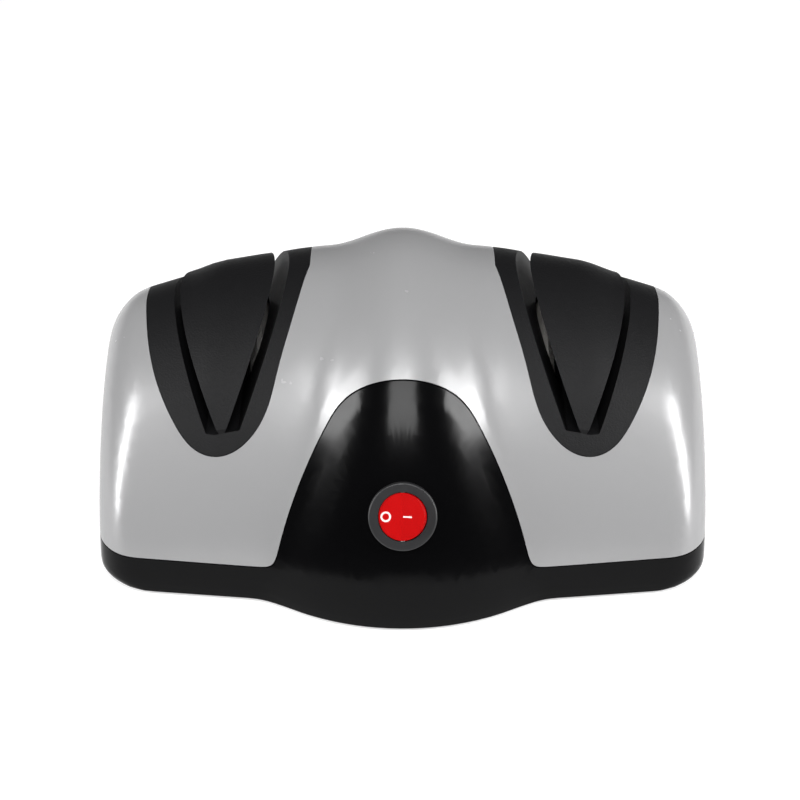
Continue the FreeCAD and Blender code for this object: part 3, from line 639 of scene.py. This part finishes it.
@dataclass
class RoundSwitch:
    """Round rocker switch with a red rocker that carries the marks for off and on."""

    shop: FinishShop
    pivot: tuple[float, float, float] = (0.0, -53.179 * MM, 39.015 * MM)
    out: tuple[float, float, float] = (0.0, -0.85198, 0.52357)
    tip_angle: float = 10.0
    face_mid: float = 1.2 * MM
    mark_height: float = 0.06 * MM
    ring_sides: int = 48
    ring_radius: float = 1.75 * MM
    ring_line: float = 0.62 * MM
    ring_at: float = -5.4 * MM
    bar_length: float = 3.0 * MM
    bar_width: float = 0.55 * MM
    bar_at: float = 1.9 * MM
    bar_edge: float = 0.6
    flat_from: float = 0.9

    def build(self) -> None:
        """Dresses the switch's nodes and prints the marks for off and on on the rocker."""
        self.shop.dress_node("switch_housing", SATIN_BLACK)
        self.shop.dress_node("switch_rocker", RED)
        self.shop.dress_node("rocker_pin", STEEL)
        self.shop.dress_node("switch_terminals", COPPER)
        self._off_mark()
        self._on_mark()

    def _face(self, side: int) -> Matrix:
        """Frame of one half of the rocker's face at rest.

        Args:
            side: -1 for the half with the mark for off, 1 for the other.

        Returns:
            Matrix with X along the face away from the middle for side 1, and Z out of the face.
        """
        out = Vector(self.out).normalized()
        across = Vector((1.0, 0.0, 0.0))
        base = Matrix((across, out.cross(across), out)).transposed().to_4x4()
        tipped = Matrix.Rotation(math.radians(-self.tip_angle), 4, "Y")
        slope = Matrix.Rotation(math.radians(-side * self.tip_angle), 4, "Y")
        ridge = Matrix.Translation((0.0, 0.0, self.face_mid))
        return Matrix.Translation(self.pivot) @ base @ tipped @ ridge @ slope

    def _print(self, name: str, side: int, shift: float) -> None:
        """Sets the active flat mark on one half of the rocker's face and dresses it.

        Args:
            name: The mark's name.
            side: The half of the face.
            shift: Its place along the face from the middle.
        """
        mark = Bench.named(name)
        mark.matrix_world = self._face(side) @ Matrix.Translation((shift, 0.0, 0.0))
        Bench.settle(mark)
        self.shop.dress_piece(mark, PRINT, Body.ROCKER)

    def _off_mark(self) -> None:
        """A raised flat ring: a low cylinder whose ends are inset and bridged."""
        Bench.clear_selection()
        bpy.ops.mesh.primitive_cylinder_add(vertices=self.ring_sides, radius=self.ring_radius,
                                            depth=2 * self.mark_height)
        bpy.ops.object.mode_set(mode="EDIT")
        bpy.ops.mesh.select_all(action="DESELECT")
        Bench.pick_faces(lambda normal, centre: abs(normal.z) > self.flat_from)
        bpy.ops.mesh.inset(thickness=self.ring_line, depth=0.0)
        bpy.ops.mesh.bridge_edge_loops()
        bpy.ops.object.mode_set(mode="OBJECT")
        self._print("off_mark", -1, self.ring_at)

    def _on_mark(self) -> None:
        """A short raised bar with softened corners."""
        Bench.clear_selection()
        bpy.ops.mesh.primitive_cube_add(size=1.0)
        bpy.ops.transform.resize(value=(self.bar_length, self.bar_width, 2 * self.mark_height))
        bpy.ops.object.transform_apply(scale=True)
        Bench.edit_all()
        bpy.ops.mesh.bevel(offset=self.mark_height * self.bar_edge, segments=2)
        bpy.ops.object.mode_set(mode="OBJECT")
        self._print("on_mark", 1, self.bar_at)


@dataclass
class DriveTrain:
    """Motor, shaft, fan, springs and the two pairs of grinding discs."""

    shop: FinishShop
    finishes: dict[str, Finish] = field(default_factory=lambda: {
        "motor_can": ZINC, "motor_bell_left": ZINC, "motor_bell_right": ZINC,
        "bearing_bush_left": COPPER, "bearing_bush_right": COPPER, "stator_magnets": FERRITE,
        "brush_boxes": COPPER, "carbon_brushes": CARBON, "motor_straps": ZINC, "strap_screws": ZINC,
        "drive_shaft": STEEL, "rotor_core": STEEL, "commutator": COPPER, "cooling_fan": NYLON,
        "spacer_sleeves": NYLON, "end_clips": STEEL, "coarse_hub_outer": NYLON, "coarse_hub_inner": NYLON,
        "fine_hub_inner": NYLON, "fine_hub_outer": NYLON, "coarse_disc_outer": COARSE_GRIT,
        "coarse_disc_inner": COARSE_GRIT, "fine_disc_inner": FINE_GRIT, "fine_disc_outer": FINE_GRIT})
    shaft_y: float = 25.5 * MM
    shaft_z: float = 43.5 * MM
    spring_near: float = 54.7 * MM
    spring_far: float = 69.8 * MM
    coil_radius: float = 5.45 * MM
    wire_radius: float = 0.5 * MM
    wire_sides: int = 10
    turn_steps: int = 28
    smooth_angle: float = 40.0
    half_turns: int = 3
    travel: float = 1.2 * MM

    def build(self) -> None:
        """Dresses every node of the drive and winds the two coil springs."""
        for name, finish in self.finishes.items():
            self.shop.dress_node(name, finish)
        self._spring("coarse", -1)
        self._spring("fine", 1)

    def _spring(self, grade: str, side: int) -> None:
        """Winds one spring in two halves, which both ride on the rotor.

        Args:
            grade: The pair of discs between which it sits.
            side: -1 for the left pair, 1 for the right one.
        """
        middle = (self.spring_near + self.spring_far) / 2
        for part, end in (("inner", self.spring_near), ("outer", self.spring_far)):
            half = self._coil(f"{grade}_spring_{part}", side * middle, side * end)
            self.shop.dress_piece(half, STEEL, Body.ROTOR)
            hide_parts(f"{grade}_disc_spring")
            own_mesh(half)

    def _coil(self, name: str, start: float, end: float) -> bpy.types.Object:
        """A coil of round wire along the shaft.

        Args:
            name: The coil's name.
            start: Where it begins along X.
            end: Where it ends along X.

        Returns:
            The coil.
        """
        towards = math.copysign(1.0, end - start)
        Bench.clear_selection()
        bpy.ops.mesh.primitive_circle_add(vertices=self.wire_sides, radius=self.wire_radius,
                                          rotation=(math.pi / 2, 0.0, 0.0),
                                          location=(self.coil_radius, 0.0, self.wire_radius))
        coil = Bench.named(name)
        Bench.settle(coil)
        screw = coil.modifiers.new("winding", "SCREW")
        screw.axis = "Z"
        screw.steps = screw.render_steps = self.turn_steps
        screw.iterations = self.half_turns
        screw.screw_offset = (abs(end - start) - 2 * self.wire_radius) / self.half_turns
        Bench.apply_modifiers(coil)
        Bench.edit_all()
        bpy.ops.mesh.remove_doubles(threshold=Bench.MERGE_WITHIN)
        bpy.ops.mesh.fill_holes(sides=0)
        bpy.ops.mesh.select_all(action="SELECT")
        bpy.ops.mesh.normals_make_consistent(inside=False)
        bpy.ops.object.mode_set(mode="OBJECT")
        coil.rotation_euler = (0.0, towards * math.pi / 2, 0.0)
        coil.location = (start, self.shaft_y, self.shaft_z)
        Bench.settle(coil)
        bpy.ops.object.shade_smooth_by_angle(angle=math.radians(self.smooth_angle))
        return coil


@dataclass
class Fittings:
    """Circuit board, cord inlet, feet and screws."""

    shop: FinishShop
    finishes: dict[str, Finish] = field(default_factory=lambda: {
        "circuit_board": BOARD, "board_components": COMPONENT, "board_screws": ZINC,
        "cord_gland": RUBBER, "rubber_feet": RUBBER, "cover_screws": ZINC})

    def build(self) -> None:
        """Dresses every fitting."""
        for name, finish in self.finishes.items():
            self.shop.dress_node(name, finish)


@dataclass
class Studio:
    """Pale floor, soft boxes, world and camera."""

    floor_half: float = 12.0
    floor_color: tuple[float, float, float] = (0.55, 0.55, 0.55)
    floor_roughness: float = 0.9
    floor_glow: float = 0.55
    world_level: float = 0.12
    camera_place: tuple[float, float, float] = (-0.0009, -0.5160, 0.4165)
    camera_tilt: float = 54.5
    camera_lens: float = 80.93
    camera_sensor: float = 36.0
    camera_near: float = 0.01
    boxes: tuple = (
        ("top box", (0.0, -0.60, 1.00), (0.0, -0.03, 0.06), (0.55, 0.34), 8.2),
        ("left box", (-0.87, -0.30, 0.45), (-0.09, -0.02, 0.04), (0.14, 0.75), 9.5),
        ("right box", (0.87, -0.30, 0.45), (0.09, -0.02, 0.04), (0.14, 0.75), 11.3),
    )
    fill: tuple = ("front fill", (0.0, -1.1, 1.1), (0.0, 0.0, 0.05), (1.2, 0.8), 2.2)

    def build(self) -> None:
        """Makes the whole studio."""
        self._floor()
        self._world()
        for name, place, target, size, watts in self.boxes:
            self._box(name, place, target, size, watts)
        self._box(*self.fill).visible_glossy = False
        self._camera()

    def _floor(self) -> None:
        """Lays the floor, which looks white to the camera and keeps the shadow."""
        Bench.clear_selection()
        bpy.ops.mesh.primitive_plane_add(size=2 * self.floor_half, location=(0, 0, 0))
        floor = Bench.named("floor")
        material = bpy.data.materials.new("floor")
        material.use_nodes = True
        tree = material.node_tree
        shader = tree.nodes["Principled BSDF"]
        shader.inputs["Base Color"].default_value = (*self.floor_color, 1.0)
        shader.inputs["Roughness"].default_value = self.floor_roughness
        shader.inputs["Specular IOR Level"].default_value = 0.0
        shader.inputs["Emission Color"].default_value = (1.0, 1.0, 1.0, 1.0)
        path = tree.nodes.new("ShaderNodeLightPath")
        seen = path.outputs["Is Camera Ray"]
        for ray in ("Is Glossy Ray", "Is Transmission Ray"):
            seen = SurfaceGroups.math_node(tree, "MAXIMUM", seen, path.outputs[ray])
        glow = SurfaceGroups.math_node(tree, "MULTIPLY", seen, self.floor_glow)
        tree.links.new(glow, shader.inputs["Emission Strength"])
        floor.data.materials.append(material)

    def _world(self) -> None:
        """Sets an even grey world that looks white to the camera."""
        world = bpy.data.worlds.new("studio")
        bpy.context.scene.world = world
        world.use_nodes = True
        tree = world.node_tree
        background = tree.nodes["Background"]
        path = tree.nodes.new("ShaderNodeLightPath")
        mix = tree.nodes.new("ShaderNodeMix")
        mix.data_type = "FLOAT"
        mix.inputs[2].default_value = self.world_level
        mix.inputs[3].default_value = 1.0
        tree.links.new(path.outputs["Is Camera Ray"], mix.inputs[0])
        tree.links.new(mix.outputs[0], background.inputs["Strength"])
        background.inputs["Color"].default_value = (1.0, 1.0, 1.0, 1.0)

    @staticmethod
    def _box(name: str, place: tuple, target: tuple, size: tuple, watts: float) -> bpy.types.Object:
        """Hangs a soft box.

        Args:
            name: The lamp's name.
            place: Its centre.
            target: The point that it faces.
            size: Width and height of its face.
            watts: Its power.

        Returns:
            The lamp's object.
        """
        lamp = bpy.data.lights.new(name, "AREA")
        lamp.shape = "RECTANGLE"
        lamp.size, lamp.size_y = size
        lamp.energy = watts
        holder = bpy.data.objects.new(name, lamp)
        bpy.context.scene.collection.objects.link(holder)
        holder.location = place
        aim = Vector(target) - Vector(place)
        holder.rotation_euler = aim.to_track_quat("-Z", "Y").to_euler()
        holder.visible_camera = False
        return holder

    def _camera(self) -> None:
        """Sets the camera at the photograph's viewing angle."""
        camera = bpy.data.cameras.new("camera")
        camera.lens = self.camera_lens
        camera.sensor_width = self.camera_sensor
        camera.clip_start = self.camera_near
        holder = bpy.data.objects.new("camera", camera)
        bpy.context.scene.collection.objects.link(holder)
        holder.location = self.camera_place
        holder.rotation_euler = (math.radians(self.camera_tilt), 0.0, 0.0)
        bpy.context.scene.camera = holder


def main() -> None:
    """Dresses the whole sharpener and sets the studio round it."""
    logging.basicConfig(level=logging.INFO, format="%(name)s: %(message)s")
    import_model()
    shop = FinishShop()
    assemblies = (Housing(shop), KnifeGuides(shop), RoundSwitch(shop), DriveTrain(shop), Fittings(shop))
    for assembly in assemblies:
        assembly.build()
    Studio().build()
    bpy.context.scene.view_settings.view_transform = "Standard"


if __name__ == "__main__":
    main()
